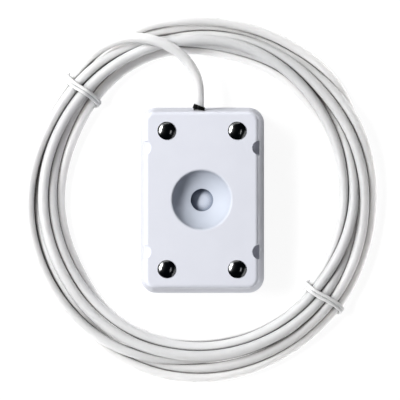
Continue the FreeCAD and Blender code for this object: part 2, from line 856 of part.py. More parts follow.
def make_inner_cores():
    """The two insulated wires, from the jacket's end to their lands on the board."""
    colours = {"red": -1, "black": 1}
    out = []
    for colour, sign in colours.items():
        x = size("cable_x") + sign * size("core_spacing") / 2
        high = value(CABLE_HEIGHT)
        jacket = Vector(x, value(JACKET_END_Y), high)
        land = Vector(sign * size("joint_x"), value(JOINT_Y), value(BOARD_FACE))
        over = Vector(land.x, land.y, high)
        straight = 2.5
        points = [jacket, jacket - Vector(0, straight, 0), over, land]
        wire, _ = rounded_path(points)
        name = "inner_wire_" + colour
        out.append(tube(name, wire, size("core_radius"), jacket, Vector(0, -1, 0)))
    return out


def make_tail(end, direction):
    """The stripped end of the cable: two insulated wires and their bare tips."""
    across = direction.cross(UP).normalize()
    pieces, tips = [], []
    for colour, sign in {"red": -1, "black": 1}.items():
        start = end + across * (sign * size("core_spacing") / 2)
        core = Part.makeCylinder(size("core_radius"), size("core_length"), start, direction)
        pieces.append(feature_of("tail_wire_" + colour, core))
        tip = start + direction * size("core_length")
        tips.append(Part.makeCylinder(size("bare_radius"), size("bare_length"), tip, direction))
    pieces.append(feature_of("tail_bare_ends", Part.makeCompound(tips)))
    return pieces


# Ties around the ring of cable: a strand that passes round it twice, held by a small head

RING_TIES = {"upper_left": 137.5, "lower_right": 323.5}


def round_loop(low, high, radius):
    """A closed wire around a rectangle in the XZ plane, with round corners."""
    x0, z0, x1, z1 = low[0], low[1], high[0], high[1]
    r = radius
    s = r * (1 - math.sqrt(0.5))
    at = lambda x, z: Vector(x, 0, z)
    edges = (
        Part.LineSegment(at(x0 + r, z0), at(x1 - r, z0)),
        Part.Arc(at(x1 - r, z0), at(x1 - s, z0 + s), at(x1, z0 + r)),
        Part.LineSegment(at(x1, z0 + r), at(x1, z1 - r)),
        Part.Arc(at(x1, z1 - r), at(x1 - s, z1 - s), at(x1 - r, z1)),
        Part.LineSegment(at(x1 - r, z1), at(x0 + r, z1)),
        Part.Arc(at(x0 + r, z1), at(x0 + s, z1 - s), at(x0, z1 - r)),
        Part.LineSegment(at(x0, z1 - r), at(x0, z0 + r)),
        Part.Arc(at(x0, z0 + r), at(x0 + s, z0 + s), at(x0 + r, z0)),
    )
    return Part.Wire([edge.toShape() for edge in edges])


def make_ring_tie(name, angle, wires):
    along = flat(coil_direction(angle + 360))
    outward = along.cross(UP)
    middle = Vector(size("coil_x"), size("coil_y"), 0)
    near = [p for w in wires for p in w.discretize(Distance=0.5)]
    near = [p - middle for p in near if (p - middle).dot(outward) > 0]
    spot = coil_point(angle + 360) - middle
    band = size("tie_spacing") + size("tie_strand")
    near = [p for p in near if abs((p - spot).dot(along)) < band]
    reaches = [p.dot(outward) for p in near]
    radius, gap, thick = size("cable_radius"), size("tie_gap"), size("tie_thickness")
    low = (min(reaches) - radius - gap, thick)
    high = (max(reaches) + radius + gap, max(p.z for p in near) + radius + gap)
    outer = Part.Face(
        round_loop((low[0] - thick, 0), (high[0] + thick, high[1] + thick), radius + thick)
    )
    hole = Part.Face(round_loop(low, high, radius))
    strand = outer.cut(hole).extrude(Vector(0, size("tie_strand"), 0))
    strands = []
    for side in (-1, 1):
        copy = strand.copy()
        copy.translate(Vector(0, side * size("tie_spacing") / 2 - size("tie_strand") / 2, 0))
        strands.append(copy)
    head = Part.makeBox(
        size("tie_head_reach") + thick,
        band,
        size("tie_head"),
        Vector(low[0] - thick - size("tie_head_reach"), -band / 2, radius + thick),
    )
    feature = feature_of(name, strands[0].fuse([strands[1], head]))
    place = middle + along * spot.dot(along)
    turn = FreeCAD.Matrix(
        outward.x, along.x, 0, place.x,
        outward.y, along.y, 0, place.y,
        0, 0, 1, 0,
        0, 0, 0, 1,
    )
    feature.Placement = FreeCAD.Placement(turn)
    return feature


# The assembly

nodes = [make_housing(), make_back_cover()]
nodes += [make_contact(corner, *signs) for corner, signs in CORNERS.items()]
nodes += make_contact_fastenings()
nodes.append(make_board())
nodes += [make_track(side, sign) for side, sign in SIDES.items()]
nodes += [make_solder_joints(), make_resistor()]
nodes += make_straps()
coil, coil_wire, coil_first, coil_last = make_coil()
lead, lead_wire = make_lead(*coil_first)
nodes += [lead, coil]
nodes += make_inner_cores()
nodes += make_tail(*coil_last)
for place, angle in RING_TIES.items():
    nodes.append(make_ring_tie("ring_tie_" + place, angle, (coil_wire, lead_wire)))
doc.recompute()

print("cable length", round(coil_wire.Length + lead_wire.Length), "mm")
print("least gap between turns", round(least_self_gap(coil_wire, size("cable_radius")), 2), "mm")

for item in doc.Objects:
    if "Invalid" in item.State or "Error" in item.State:
        raise RuntimeError(f"{item.Label} failed: {item.State}")
os.makedirs("parts", exist_ok=True)
for node in nodes:
    if node.Shape.isNull() or not node.Shape.isValid():
        raise RuntimeError(node.Label + " has no valid shape")
    node.Shape.exportStep(f"parts/{node.Label}.step")
    print(node.Label, len(node.Shape.Solids), round(node.Shape.Volume, 1))
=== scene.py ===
import math

import bpy
import bmesh
import numpy as np
from mathutils import Matrix, Vector


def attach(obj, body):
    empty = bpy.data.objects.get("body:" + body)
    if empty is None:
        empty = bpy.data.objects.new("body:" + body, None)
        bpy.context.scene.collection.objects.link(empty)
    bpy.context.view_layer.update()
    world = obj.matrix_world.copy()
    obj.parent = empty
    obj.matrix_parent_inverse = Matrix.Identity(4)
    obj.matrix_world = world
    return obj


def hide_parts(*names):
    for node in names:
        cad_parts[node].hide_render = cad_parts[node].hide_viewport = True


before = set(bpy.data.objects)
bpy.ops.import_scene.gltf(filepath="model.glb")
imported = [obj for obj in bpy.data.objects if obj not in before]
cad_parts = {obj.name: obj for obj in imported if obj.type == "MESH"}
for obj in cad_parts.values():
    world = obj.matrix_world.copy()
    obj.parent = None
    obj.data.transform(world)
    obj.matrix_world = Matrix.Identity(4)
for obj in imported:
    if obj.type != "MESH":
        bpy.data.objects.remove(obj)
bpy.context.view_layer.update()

# Water level sensor on its back with its cable wound in a ring around it.
# The frame is the CAD's: metres, X across the box, Y towards the cable's end, Z out of the face.

MM = 0.001

# Camera, straight above the box as in the photograph. It stands a little towards the picture's
# lower right, so that the walls on those sides show wider, and a shift of the lens brings the
# picture's middle back.
IMAGE = 400
PIXEL = 0.4113 * MM
SENSOR = 36.0
CAMERA_HEIGHT = 1.0
CAMERA_X = -0.95 * MM
CAMERA_Y = 0.1 * MM
CAMERA_ASIDE = 14.0 * MM
CAMERA_NEAR = 8.0 * MM
CAMERA_CLIP = (0.01, 20.0)


def make_camera():
    """The photograph's view, with the image's width of floor in the frame."""
    width = IMAGE * PIXEL
    data = bpy.data.cameras.new("camera")
    data.sensor_width = SENSOR
    data.lens = SENSOR * CAMERA_HEIGHT / width
    data.clip_start, data.clip_end = CAMERA_CLIP
    data.shift_x = -CAMERA_ASIDE / width
    data.shift_y = CAMERA_NEAR / width
    camera = bpy.data.objects.new("camera", data)
    camera.location = (CAMERA_X + CAMERA_ASIDE, CAMERA_Y - CAMERA_NEAR, CAMERA_HEIGHT)
    bpy.context.scene.collection.objects.link(camera)
    bpy.context.scene.camera = camera


make_camera()


# Materials

# Sockets of a Mix node by number, because those of its data types share their names
MIX_FACTOR = 0
COLOUR_A, COLOUR_B, COLOUR_OUT = 6, 7, 2
VALUE_A, VALUE_B, VALUE_OUT = 2, 3, 0

TINT_STOPS = (0.3, 0.7)
# Samples of the openness that sets where shade is painted
SHADE_OCCLUSION_SAMPLES = 8


class Nodes:
    """A material's node tree, with short ways to add and link its nodes."""

    def __init__(self, name):
        self.material = bpy.data.materials.new(name)
        self.material.use_nodes = True
        self.tree = self.material.node_tree
        self.shader = self.tree.nodes["Principled BSDF"]

    def add(self, kind, **settings):
        """A new node, with its own settings or its inputs' constants."""
        node = self.tree.nodes.new("ShaderNode" + kind)
        for name, value in settings.items():
            if hasattr(node, name):
                setattr(node, name, value)
            else:
                node.inputs[name.replace("_", " ")].default_value = value
        return node

    def link(self, source, output, target, entry):
        """Links a node's output to another node's entry, each by name or by number."""
        self.tree.links.new(source.outputs[output], target.inputs[entry])

    def set(self, **values):
        """Sets constants on the shader."""
        for name, value in values.items():
            self.shader.inputs[name.replace("_", " ")].default_value = value

    def noise(self, scale, detail=3.0, roughness=0.55, stretch=(1, 1, 1)):
        """Noise over the object's own coordinates, with scale in features per metre."""
        place = self.add("TexCoord")
        mapping = self.add("Mapping", Scale=stretch)
        texture = self.add("TexNoise", Scale=scale, Detail=detail, Roughness=roughness)
        self.link(place, "Object", mapping, "Vector")
        self.link(mapping, "Vector", texture, "Vector")
        return texture

    def ramp(self, source, stops):
        """A colour ramp on a noise's value, with stops of (place, colour)."""
        ramp = self.add("ValToRGB")
        elements = ramp.color_ramp.elements
        for element, (place, colour) in zip(elements, stops):
            element.position = place
            element.color = (*colour, 1.0)
        self.link(source, "Fac", ramp, "Fac")
        return ramp

    def spread(self, source, output, values):
        """Maps an output: values are its low and high end and what these become."""
        spread = self.add("MapRange")
        for name, value in zip(("From Min", "From Max", "To Min", "To Max"), values):
            spread.inputs[name].default_value = value
        self.link(source, output, spread, "Value")
        return spread

    def tint(self, source, low, high):
        """Varies the base colour a little between two tones."""
        ramp = self.ramp(source, zip(TINT_STOPS, (low, high)))
        self.link(ramp, "Color", self.shader, "Base Color")

    def vary_roughness(self, source, low, high):
        """Varies the roughness between two values."""
        spread = self.spread(source, "Fac", (0.0, 1.0, low, high))
        self.link(spread, "Result", self.shader, "Roughness")

    def bump(self, source, depth, strength, before=None):
        """Raises the surface by a noise, on top of an earlier bump if there is one."""
        bump = self.add("Bump", Distance=depth, Strength=strength)
        self.link(source, "Fac", bump, "Height")
        if before is not None:
            self.link(before, "Normal", bump, "Normal")
        self.link(bump, "Normal", self.shader, "Normal")
        return bump

    def openness_for_painted_shade(self, reach, values):
        """Maps how open the surface is within a reach, for painted shade: 0 where it is closed
        in, 1 where open.
        """
        openness = self.add("AmbientOcclusion", Distance=reach, samples=SHADE_OCCLUSION_SAMPLES)
        return self.spread(openness, "AO", values)

    def multiply_base(self):
        """A multiply node between the base colour and the shader, for its factor and colour B."""
        mix = self.add("Mix", data_type="RGBA", blend_type="MULTIPLY")
        source = self.shader.inputs["Base Color"].links[0].from_socket
        self.tree.links.new(source, mix.inputs[COLOUR_A])
        self.link(mix, COLOUR_OUT, self.shader, "Base Color")
        return mix


def moulded_plastic(name, low, high, rough):
    """Satin moulded plastic: a fine spark-eroded grain over very faint mottling."""
    n = Nodes(name)
    n.tint(n.noise(scale=90.0, detail=4.0), low, high)
    n.vary_roughness(n.noise(scale=400.0), *rough)
    waves = n.bump(n.noise(scale=120.0, detail=2.0), depth=0.02 * MM, strength=0.5)
    grain = n.noise(scale=5200.0, detail=2.0, roughness=0.6)
    n.bump(grain, depth=0.012 * MM, strength=0.6, before=waves)
    n.set(IOR=1.49)
    return n


def polished_metal(name, low, high, rough):
    """Plated or bright metal with very fine scratches across it."""
    n = Nodes(name)
    n.tint(n.noise(scale=600.0), low, high)
    n.vary_roughness(n.noise(scale=900.0, detail=4.0), *rough)
    n.bump(n.noise(scale=2600.0, stretch=(1, 6, 1)), depth=0.003 * MM, strength=0.4)
    n.set(Metallic=1.0)
    return n


# Painted shade where strands of the jacket meet: how far the next strand may be, and over which
# range of openness the base colour goes from which share of itself to which
PAINTED_CREASE_SHADE_REACH = 2.5 * MM
PAINTED_CREASE_SHADE_TONES = (0.18, 0.64, 0.10, 1.0)


def cable_jacket(name, low, high, rough):
    """Soft off-white jacket with a faint waviness from the wires inside it, and shade painted
    darker where strands meet.
    """
    n = Nodes(name)
    n.tint(n.noise(scale=60.0, detail=4.0), low, high)
    # Painted shade: the base colour darkens where strands close each other in
    crease_shade = n.multiply_base()
    crease_shade.inputs[MIX_FACTOR].default_value = 1.0
    n.link(n.openness_for_painted_shade(PAINTED_CREASE_SHADE_REACH, PAINTED_CREASE_SHADE_TONES), "Result", crease_shade, COLOUR_B)
    n.vary_roughness(n.noise(scale=300.0), *rough)
    waves = n.bump(n.noise(scale=160.0, detail=2.0), depth=0.05 * MM, strength=0.6)
    n.bump(n.noise(scale=2800.0), depth=0.012 * MM, strength=0.5, before=waves)
    n.set(IOR=1.45, Subsurface_Weight=1.0, Subsurface_Scale=8.0 * MM)
    n.set(Subsurface_Radius=(1.0, 0.98, 0.96))
    return n


def paint_shade_disc(n, edge, tone, near=None, corner=None):
    """Paints shade into the base colour inside a circle around the object's Z axis, soft at its
    edge.

    With a near distance, the painted shade falls only where the surface is closed in within it,
    between the corner's two shares of openness.
    """
    place = n.add("TexCoord")
    flat = n.add("VectorMath", operation="MULTIPLY")
    flat.inputs[1].default_value = (1, 1, 0)
    reach = n.add("VectorMath", operation="LENGTH")
    n.link(place, "Object", flat, 0)
    n.link(flat, 0, reach, 0)
    share = n.spread(reach, "Value", (*edge, 1.0, 0.0))
    if near:
        inside = share
        share = n.add("Math", operation="MULTIPLY")
        n.link(inside, "Result", share, 0)
        n.link(n.openness_for_painted_shade(near, (*corner, 1.0, 0.0)), "Result", share, 1)
    mix = n.multiply_base()
    mix.inputs[COLOUR_B].default_value = (*tone, 1.0)
    n.link(share, 0, mix, MIX_FACTOR)


# Each material's deep and light tone, and its roughness from and to
PLASTICS = {
    "white_housing": ((0.70, 0.713, 0.78), (0.72, 0.733, 0.80), (0.50, 0.60)),
    "white_cover": ((0.74, 0.75, 0.80), (0.78, 0.79, 0.83), (0.42, 0.52)),
    "seal_rubber": ((0.012, 0.012, 0.012), (0.022, 0.022, 0.022), (0.6, 0.75)),
    "board_laminate": ((0.02, 0.17, 0.07), (0.03, 0.22, 0.10), (0.25, 0.35)),
    "black_tie": ((0.001, 0.001, 0.001), (0.002, 0.002, 0.002), (0.4, 0.5)),
    "red_insulation": ((0.42, 0.02, 0.02), (0.52, 0.03, 0.03), (0.3, 0.4)),
    "black_insulation": ((0.01, 0.01, 0.01), (0.02, 0.02, 0.02), (0.3, 0.4)),
    "resistor_body": ((0.50, 0.36, 0.20), (0.60, 0.45, 0.26), (0.2, 0.3)),
    "white_tie": ((0.80, 0.80, 0.80), (0.86, 0.86, 0.86), (0.3, 0.42)),
}
METALS = {
    "contact_metal": ((0.19, 0.193, 0.196), (0.23, 0.233, 0.236), (0.13, 0.17)),
    "fastener_steel": ((0.55, 0.55, 0.56), (0.66, 0.66, 0.67), (0.25, 0.38)),
    "board_copper": ((0.72, 0.38, 0.22), (0.82, 0.47, 0.30), (0.22, 0.34)),
    "solder": ((0.62, 0.62, 0.64), (0.74, 0.74, 0.76), (0.18, 0.30)),
    "tinned_wire": ((0.60, 0.60, 0.62), (0.74, 0.74, 0.76), (0.22, 0.34)),
}
JACKETS = {
    "cable_jacket": ((0.62, 0.62, 0.622), (0.67, 0.67, 0.672), (0.42, 0.55)),
}
# How much these plastics shine
SHINES = {"white_housing": 0.18, "black_tie": 0.06}

# Shade is painted into the dish: its base colour is a little deeper than the face's. In the hole,
# deeper painted shade lies only in the corner between its floor and its wall.
PAINTED_DISH_SHADE_EDGE = (11.4 * MM, 12.6 * MM)
PAINTED_DISH_SHADE = (0.745, 0.78, 0.805)
PAINTED_BORE_SHADE_EDGE = (4.5 * MM, 4.7 * MM)
PAINTED_BORE_SHADE = (0.32, 0.35, 0.40)
PAINTED_BORE_SHADE_REACH = 4.0 * MM
PAINTED_BORE_SHADE_CORNER = (0.45, 0.78)

looks = {
    name: make(name, *look)
    for make, kinds in (
        (moulded_plastic, PLASTICS),
        (polished_metal, METALS),
        (cable_jacket, JACKETS),
    )
    for name, look in kinds.items()
}
for name, shine in SHINES.items():
    looks[name].set(Specular_IOR_Level=shine)
# Painted shade in the dish, and deeper painted shade in the corner of its hole
paint_shade_disc(looks["white_housing"], PAINTED_DISH_SHADE_EDGE, PAINTED_DISH_SHADE)
paint_shade_disc(looks["white_housing"], PAINTED_BORE_SHADE_EDGE, PAINTED_BORE_SHADE, PAINTED_BORE_SHADE_REACH, PAINTED_BORE_SHADE_CORNER)

# The CAD nodes that show their own surfaces, by material
DRESSED = {
    "white_housing": ["housing"],
    "white_cover": ["back_cover"],
    "contact_metal": [
        f"contact_{row}_{side}" for row in ("top", "bottom") for side in ("left", "right")
    ],
    "fastener_steel": ["contact_washers", "contact_nuts"],
    "seal_rubber": ["contact_seals"],
    "board_laminate": ["circuit_board"],
    "board_copper": ["track_left", "track_right"],
    "solder": ["solder_joints"],
    "resistor_body": ["line_resistor"],
    "black_tie": ["inner_tie"],
    "red_insulation": ["inner_wire_red", "tail_wire_red"],
    "black_insulation": ["inner_wire_black", "tail_wire_black"],
    "tinned_wire": ["tail_bare_ends"],
}
CAD_SHARP = math.radians(28)


def dress(data, name, sharp):
    """Gives a mesh a material and smooth shading up to its sharp edges."""
    data.materials.clear()
    data.materials.append(looks[name].material)
    for polygon in data.polygons:
        polygon.use_smooth = True
    data.set_sharp_from_angle(angle=sharp)


for name, nodes in DRESSED.items():
    for node in nodes:
        dress(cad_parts[node].data, name, CAD_SHARP)


# Cable: the route of its free lead, as in the CAD, and six loosely wound turns. Places are in
# mm, the radius in metres.

CABLE_RADIUS = 2.05 * MM
CABLE_ROUNDING = 6
CABLE_X = -1.1
CABLE_Z = 12.55
LEAD_START = (CABLE_X, 30.88, CABLE_Z)
LEAD_EXIT = (CABLE_X, 41.0, CABLE_Z)
LEAD_POINTS = (
    (-1.3, 47.6, 12.6),
    (-3.8, 53.7, 12.7),
    (-8.9, 59.9, 13.6),
    (-17.4, 64.5, 14.3),
    (-27.0, 66.3, 12.4),
    (-35.8, 64.9, 9.4),
    (-43.3, 60.9, 6.6),
    (-49.4, 54.3, 3.9),
)
COIL_END = (-29.3, 68.5, 2.95)
COIL_END_ANGLE = 114
RING_X = -0.12
RING_Y = 0.12

# Each turn's distance from the ring's middle in mm, every 30 degrees counter-clockwise from 120
TURN_RADII = (
    (71.5, 71.0, 71.3, 66.9, 72.2, 73.1, 70.3, 69.1, 69.2, 70.2, 67.8, 72.2),
    (69.0, 67.2, 67.4, 67.8, 70.0, 69.4, 68.3, 67.7, 66.2, 67.3, 66.5, 67.0),
    (67.6, 62.0, 61.3, 60.3, 60.9, 60.4, 60.4, 60.4, 62.5, 63.8, 63.8, 63.5),
    (70.9, 68.0, 71.1, 70.9, 70.2, 63.6, 64.5, 61.5, 59.1, 57.9, 60.4, 61.5),
    (65.0, 58.3, 58.9, 57.1, 62.2, 56.0, 57.9, 57.1, 58.5, 59.7, 64.4, 65.8),
    (65.7, 64.9, 65.2, 64.2, 65.5, 63.8, 62.3, 62.0, 59.9, 71.7, 73.3, 72.4),
)
# How high each turn starts at those angles, from 0 on the floor to 9 on top of the others
TURN_HEIGHTS = (
    "330000680904",
    "520070996990",
    "088949999005",
    "969990325372",
    "945230428957",
    "985599692595",
)
TOP_MARK = 9
TOP_LAYER = 3.5
TABLE_START = 120
TABLE_STEP = 30
STEP = 5
PER_TURN = 360 // STEP
# The cable follows the turns from this angle on, and its lead before it
FIRST_ANGLE = 140
# Angles at which the run is held at a radius and a height in mm: where the lead takes its
# place, beside the cable's end, and at that end
PINNED = {
    120: (74.3, 8.8),
    125: (74.6, 6.8),
    130: (73.8, 4.9),
    135: (72.8, 3.3),
    475: (70.5, 2.5),
    2255: (73.6, 7.2),
    2260: (74.2, 6.7),
    2265: (74.7, 5.4),
    2270: (75.1, 3.9),
}

# Settling: how many sweeps there are, and how many of them at the end have no sinking; what
# the turns sink by in each sweep, and the shares by which they go back to the radii above and
# even out along the cable. Strands then push each other apart to the cable's thickness and a
# small gap, and a distance under the least one counts as that.
SWEEPS = 260
LEVEL_SWEEPS = 120
SINK = 0.02
PULL = 0.03
EVEN_OUT = 0.35
STRAND_GAP = 0.02
LEAST_DISTANCE = 0.05

# Ties around the ring, in mm: each is one white strand that passes round the turns twice
TIE_ANGLES = {"upper_left": 137.4, "lower_right": 321.4}
TIE_STRAND = 0.7
TIE_ROUNDING = 5
TIE_PRESS = 0.05
TIE_POINTS = 40
SECTION_SIDES = 24
TIE_SPACING = 1.5
# The strands draw together by this share at the ring's edges
TIE_DRAW = 0.25
# They sway along the ring to one side on top and to the other below
TIE_SWAY = 0.8
SWAY_TURN = math.pi * 0.75
TIE_MIDDLE = 3.0
# Over about this many degrees to each side of a tie, its strand below the turns lifts them
TIE_REACH = 9.0


def along_turns(rows):
    """A smooth run of values at every step, through the rows of all turns one after another."""
    knots = np.array([value for row in rows for value in row] + [rows[-1][-1]])
    slopes = np.gradient(knots)
    last = COIL_END_ANGLE + 360 * len(rows)
    angles = np.arange(TABLE_START, last, STEP, dtype=float)
    place = (angles - TABLE_START) / TABLE_STEP
    i = place.astype(int)
    t = place - i
    return angles, (
        (2 * t**3 - 3 * t**2 + 1) * knots[i]
        + (t**3 - 2 * t**2 + t) * slopes[i]
        + (3 * t**2 - 2 * t**3) * knots[i + 1]
        + (t**3 - t**2) * slopes[i + 1]
    )


def settle_turns():
    """The turns' radii and heights once they rest on the floor and on each other."""
    angles, wanted = along_turns(TURN_RADII)
    _, layer = along_turns([[int(mark) / TOP_MARK for mark in row] for row in TURN_HEIGHTS])
    radius = CABLE_RADIUS / MM
    diameter = 2 * radius + STRAND_GAP
    r, z = wanted.copy(), radius + layer * TOP_LAYER
    total = len(r)
    turns = math.ceil(total / PER_TURN)
    pairs = [(a, b) for a in range(turns) for b in range(a + 1, turns)]
    lift = np.zeros(total)
    for tie in TIE_ANGLES.values():
        off = (angles - tie + 180) % 360 - 180
        lift += 2 * TIE_STRAND * np.exp(-((off / TIE_REACH) ** 2))
    pinned = [(int(np.argmin(abs(angles - angle))), kept) for angle, kept in PINNED.items()]
    for sweep in range(SWEEPS):
        if sweep < SWEEPS - LEVEL_SWEEPS:
            z[1:-1] -= SINK
        r += (wanted - r) * PULL
        for line in (r, z):
            middle = (line[:-2] + line[2:]) / 2
            line[1:-1] += (middle - line[1:-1]) * EVEN_OUT
        # Each turn against each later one, at the angles that both pass
        for a, b in pairs:
            count = min(PER_TURN, total - b * PER_TURN)
            i = np.arange(count) + a * PER_TURN
            j = np.arange(count) + b * PER_TURN
            dr, dz = r[j] - r[i], z[j] - z[i]
            far = np.maximum(np.hypot(dr, dz), LEAST_DISTANCE)
            push = np.maximum(diameter - far, 0) / 2 / far
            r[i] -= dr * push
            z[i] -= dz * push
            r[j] += dr * push
            z[j] += dz * push
        z = np.maximum(z, radius + lift)
        for i, kept in pinned:
            r[i], z[i] = kept
    return angles, r, z


def ring_point(angle, r, z):
    """A place in metres from an angle, a radius and a height."""
    turn = math.radians(angle)
    return Vector((RING_X + r * math.cos(turn), RING_Y + r * math.sin(turn), z)) * MM


def make_curve(name, radius, rounding, material):
    """An empty curve that draws round strands."""
    curve = bpy.data.curves.new(name, "CURVE")
    curve.dimensions = "3D"
    curve.bevel_depth = radius
    curve.bevel_resolution = rounding
    curve.materials.append(looks[material].material)
    return curve


def add_spline(curve, points, closed):
    """A smooth run along the points, either closed or from the first to the last."""
    spline = curve.splines.new("NURBS")
    spline.points.add(len(points) - 1)
    for knot, point in zip(spline.points, points):
        knot.co = (*point, 1.0)
    spline.order_u = 3
    spline.use_endpoint_u = not closed
    spline.use_cyclic_u = closed
    spline.resolution_u = 4


def make_cable():
    """The whole cable as one curve, with the settled turns' angles, radii and heights."""
    angles, r, z = settle_turns()
    points = [Vector(point) * MM for point in (LEAD_START, LEAD_EXIT, *LEAD_POINTS)]
    points += [ring_point(a, r[i], z[i]) for i, a in enumerate(angles) if a >= FIRST_ANGLE]
    points.append(Vector(COIL_END) * MM)
    curve = make_curve("cable", CABLE_RADIUS, CABLE_ROUNDING, "cable_jacket")
    curve.use_fill_caps = True
    add_spline(curve, points, closed=False)
    cable = bpy.data.objects.new("cable", curve)
    bpy.context.scene.collection.objects.link(cable)
    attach(cable, "root")
    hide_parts("cable_lead", "cable_coil")
    return cable, angles, r, z


def outline_of(section, clearance):
    """The convex outline around the turns' round sections at one angle, as points (r, z)."""
    around = np.linspace(0, 2 * math.pi, SECTION_SIDES, endpoint=False)
    reach = CABLE_RADIUS / MM + clearance
    points = sorted(
        (r + reach * math.cos(a), z + reach * math.sin(a)) for r, z in section for a in around
    )

    def half(run):
        out = []
        for p in run:
            while len(out) > 1 and (
                (out[-1][0] - out[-2][0]) * (p[1] - out[-2][1])
                - (out[-1][1] - out[-2][1]) * (p[0] - out[-2][0])
            ) <= 0:
                out.pop()
            out.append(p)
        return out[:-1]

    return half(points) + half(points[::-1])


def evenly(points, count):
    """A closed run of points at even distances along a closed outline."""
    closed = np.array(points + points[:1])
    lengths = np.hypot(*np.diff(closed, axis=0).T)
    along = np.concatenate([[0], np.cumsum(lengths)])
    at = np.linspace(0, along[-1], count, endpoint=False)
    return np.stack([np.interp(at, along, closed[:, k]) for k in (0, 1)], axis=1)


def make_ring_tie(name, angle, cable_section):
    """A doubled strand that follows the turns' outline, swayed a little along the ring."""
    loop = evenly(outline_of(cable_section, TIE_STRAND - TIE_PRESS), TIE_POINTS)
    low, high = loop[:, 0].min(), loop[:, 0].max()
    curve = make_curve(name, TIE_STRAND * MM, TIE_ROUNDING, "white_tie")
    turn = math.radians(angle)
    out = Vector((math.cos(turn), math.sin(turn), 0))
    along = Vector((-math.sin(turn), math.cos(turn), 0))
    middle = Vector((RING_X, RING_Y, 0))
    for side in (-1, 1):
        points = []
        for r, z in loop:
            share = 2 * (r - low) / (high - low) - 1
            sway = TIE_SWAY * math.sin(share * SWAY_TURN) * (1 if z > TIE_MIDDLE else -1)
            off = side * TIE_SPACING / 2 * (1 - TIE_DRAW * abs(share) ** 3) + sway
            points.append((middle + out * r + along * off + Vector((0, 0, z))) * MM)
        add_spline(curve, points, closed=True)
    tie = bpy.data.objects.new(name + "_strands", curve)
    bpy.context.scene.collection.objects.link(tie)
    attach(tie, "root")
    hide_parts(name)
    return tie


def section_at(angles, r, z, angle):
    """The turns' places (r, z) where they pass an angle."""
    passes = [angle + 360 * k for k in range(len(TURN_RADII))]
    return [
        (np.interp(at, angles, r), np.interp(at, angles, z))
        for at in passes
        if FIRST_ANGLE - STEP <= at <= angles[-1]
    ]


cable, *turns = make_cable()
ties = [
    make_ring_tie("ring_tie_" + place, angle, section_at(*turns, angle))
    for place, angle in TIE_ANGLES.items()
]


# Black nylon tie on the cable where it leaves the box, in mm

STRAP_WIDTH = 1.15
STRAP_THICKNESS = 0.3
STRAP_CLEARANCE = 0.02
STRAP_EDGE = 0.12
STRAP_SIDES = 40
STRAP_SHARP = math.radians(40)
# Each wrap's place along the cable and its tilt: the two part towards the tie's head
WRAPS = ((37.1, 2.0), (37.6, 19.0))
WRAP_RISE = 0.1
HEAD_SIZE = (1.5, 1.8, 2.0)
HEAD_EDGE = 0.3
# How far the head reaches in from the strap's outside and below the cable's middle, how far
# before the last wrap it lies, how it is turned in plan and how it leans around the cable
HEAD_SUNK = 0.9
HEAD_DROP = 0.7
HEAD_BEFORE = 0.4
HEAD_TILT = 24.0
HEAD_LEAN = 40.0


def add_box(mesh, low, high, radius):
    """A box with rounded edges, added to a bmesh."""
    size = [b - a for a, b in zip(low, high)]
    middle = [(a + b) / 2 for a, b in zip(low, high)]
    made = bmesh.ops.create_cube(
        mesh, size=1.0, matrix=Matrix.Translation(middle) @ Matrix.Diagonal((*size, 1.0))
    )
    edges = list({edge for vertex in made["verts"] for edge in vertex.link_edges})
    bmesh.ops.bevel(
        mesh, geom=edges, offset=radius, segments=3, profile=0.5, affect="EDGES"
    )


def piece_from(mesh, name, slot):
    """A dressed piece of the scene on the root, from a bmesh."""
    data = bpy.data.meshes.new(name)
    bmesh.ops.recalc_face_normals(mesh, faces=mesh.faces)
    mesh.to_mesh(data)
    mesh.free()
    dress(data, slot, STRAP_SHARP)
    made = bpy.data.objects.new(name, data)
    bpy.context.scene.collection.objects.link(made)
    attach(made, "root")
    return made


def add_wrap(mesh, inner, place):
    """One turn of the strap around the Y axis, put in place by a matrix."""
    outer = inner + STRAP_THICKNESS
    half = STRAP_WIDTH / 2
    section = (
        (inner, -half),
        (outer - STRAP_EDGE, -half),
        (outer, -half + STRAP_EDGE),
        (outer, half - STRAP_EDGE),
        (outer - STRAP_EDGE, half),
        (inner, half),
    )
    rings = []
    for i in range(STRAP_SIDES):
        a = 2 * math.pi * i / STRAP_SIDES
        rings.append([
            mesh.verts.new(place @ Vector((r * math.cos(a), y, r * math.sin(a))))
            for r, y in section
        ])
    for i in range(STRAP_SIDES):
        for k in range(len(section)):
            a, b = rings[i], rings[(i + 1) % STRAP_SIDES]
            m = (k + 1) % len(section)
            mesh.faces.new((a[k], a[m], b[m], b[k]))


def tilted(y, tilt):
    """A place along the cable, tilted in plan."""
    return Matrix.Translation((0, y, 0)) @ Matrix.Rotation(math.radians(-tilt), 4, "Z")


def make_exit_tie():
    """The strap's two wraps and its head, as one piece in place of the CAD's tie."""
    mesh = bmesh.new()
    inner = CABLE_RADIUS / MM + STRAP_CLEARANCE
    for k, (y, tilt) in enumerate(WRAPS):
        add_wrap(mesh, inner + WRAP_RISE * k, tilted(y, tilt))
    far = HEAD_SUNK - inner - STRAP_THICKNESS
    width, length, height = HEAD_SIZE
    head = bmesh.new()
    add_box(
        head,
        (far - width, -length / 2, -HEAD_DROP),
        (far, length / 2, height - HEAD_DROP),
        HEAD_EDGE,
    )
    lean = Matrix.Rotation(math.radians(HEAD_LEAN), 4, "Y")
    head.transform(tilted(WRAPS[-1][0] - HEAD_BEFORE, HEAD_TILT) @ lean)
    made = bpy.data.meshes.new("exit_tie_head")
    head.to_mesh(made)
    head.free()
    mesh.from_mesh(made)
    bpy.data.meshes.remove(made)
    mesh.transform(Matrix.Translation(Vector((CABLE_X, 0, CABLE_Z)) * MM) @ Matrix.Scale(MM, 4))
    tie = piece_from(mesh, "exit_tie_strap", "black_tie")
    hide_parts("exit_tie")
    return tie


exit_tie = make_exit_tie()


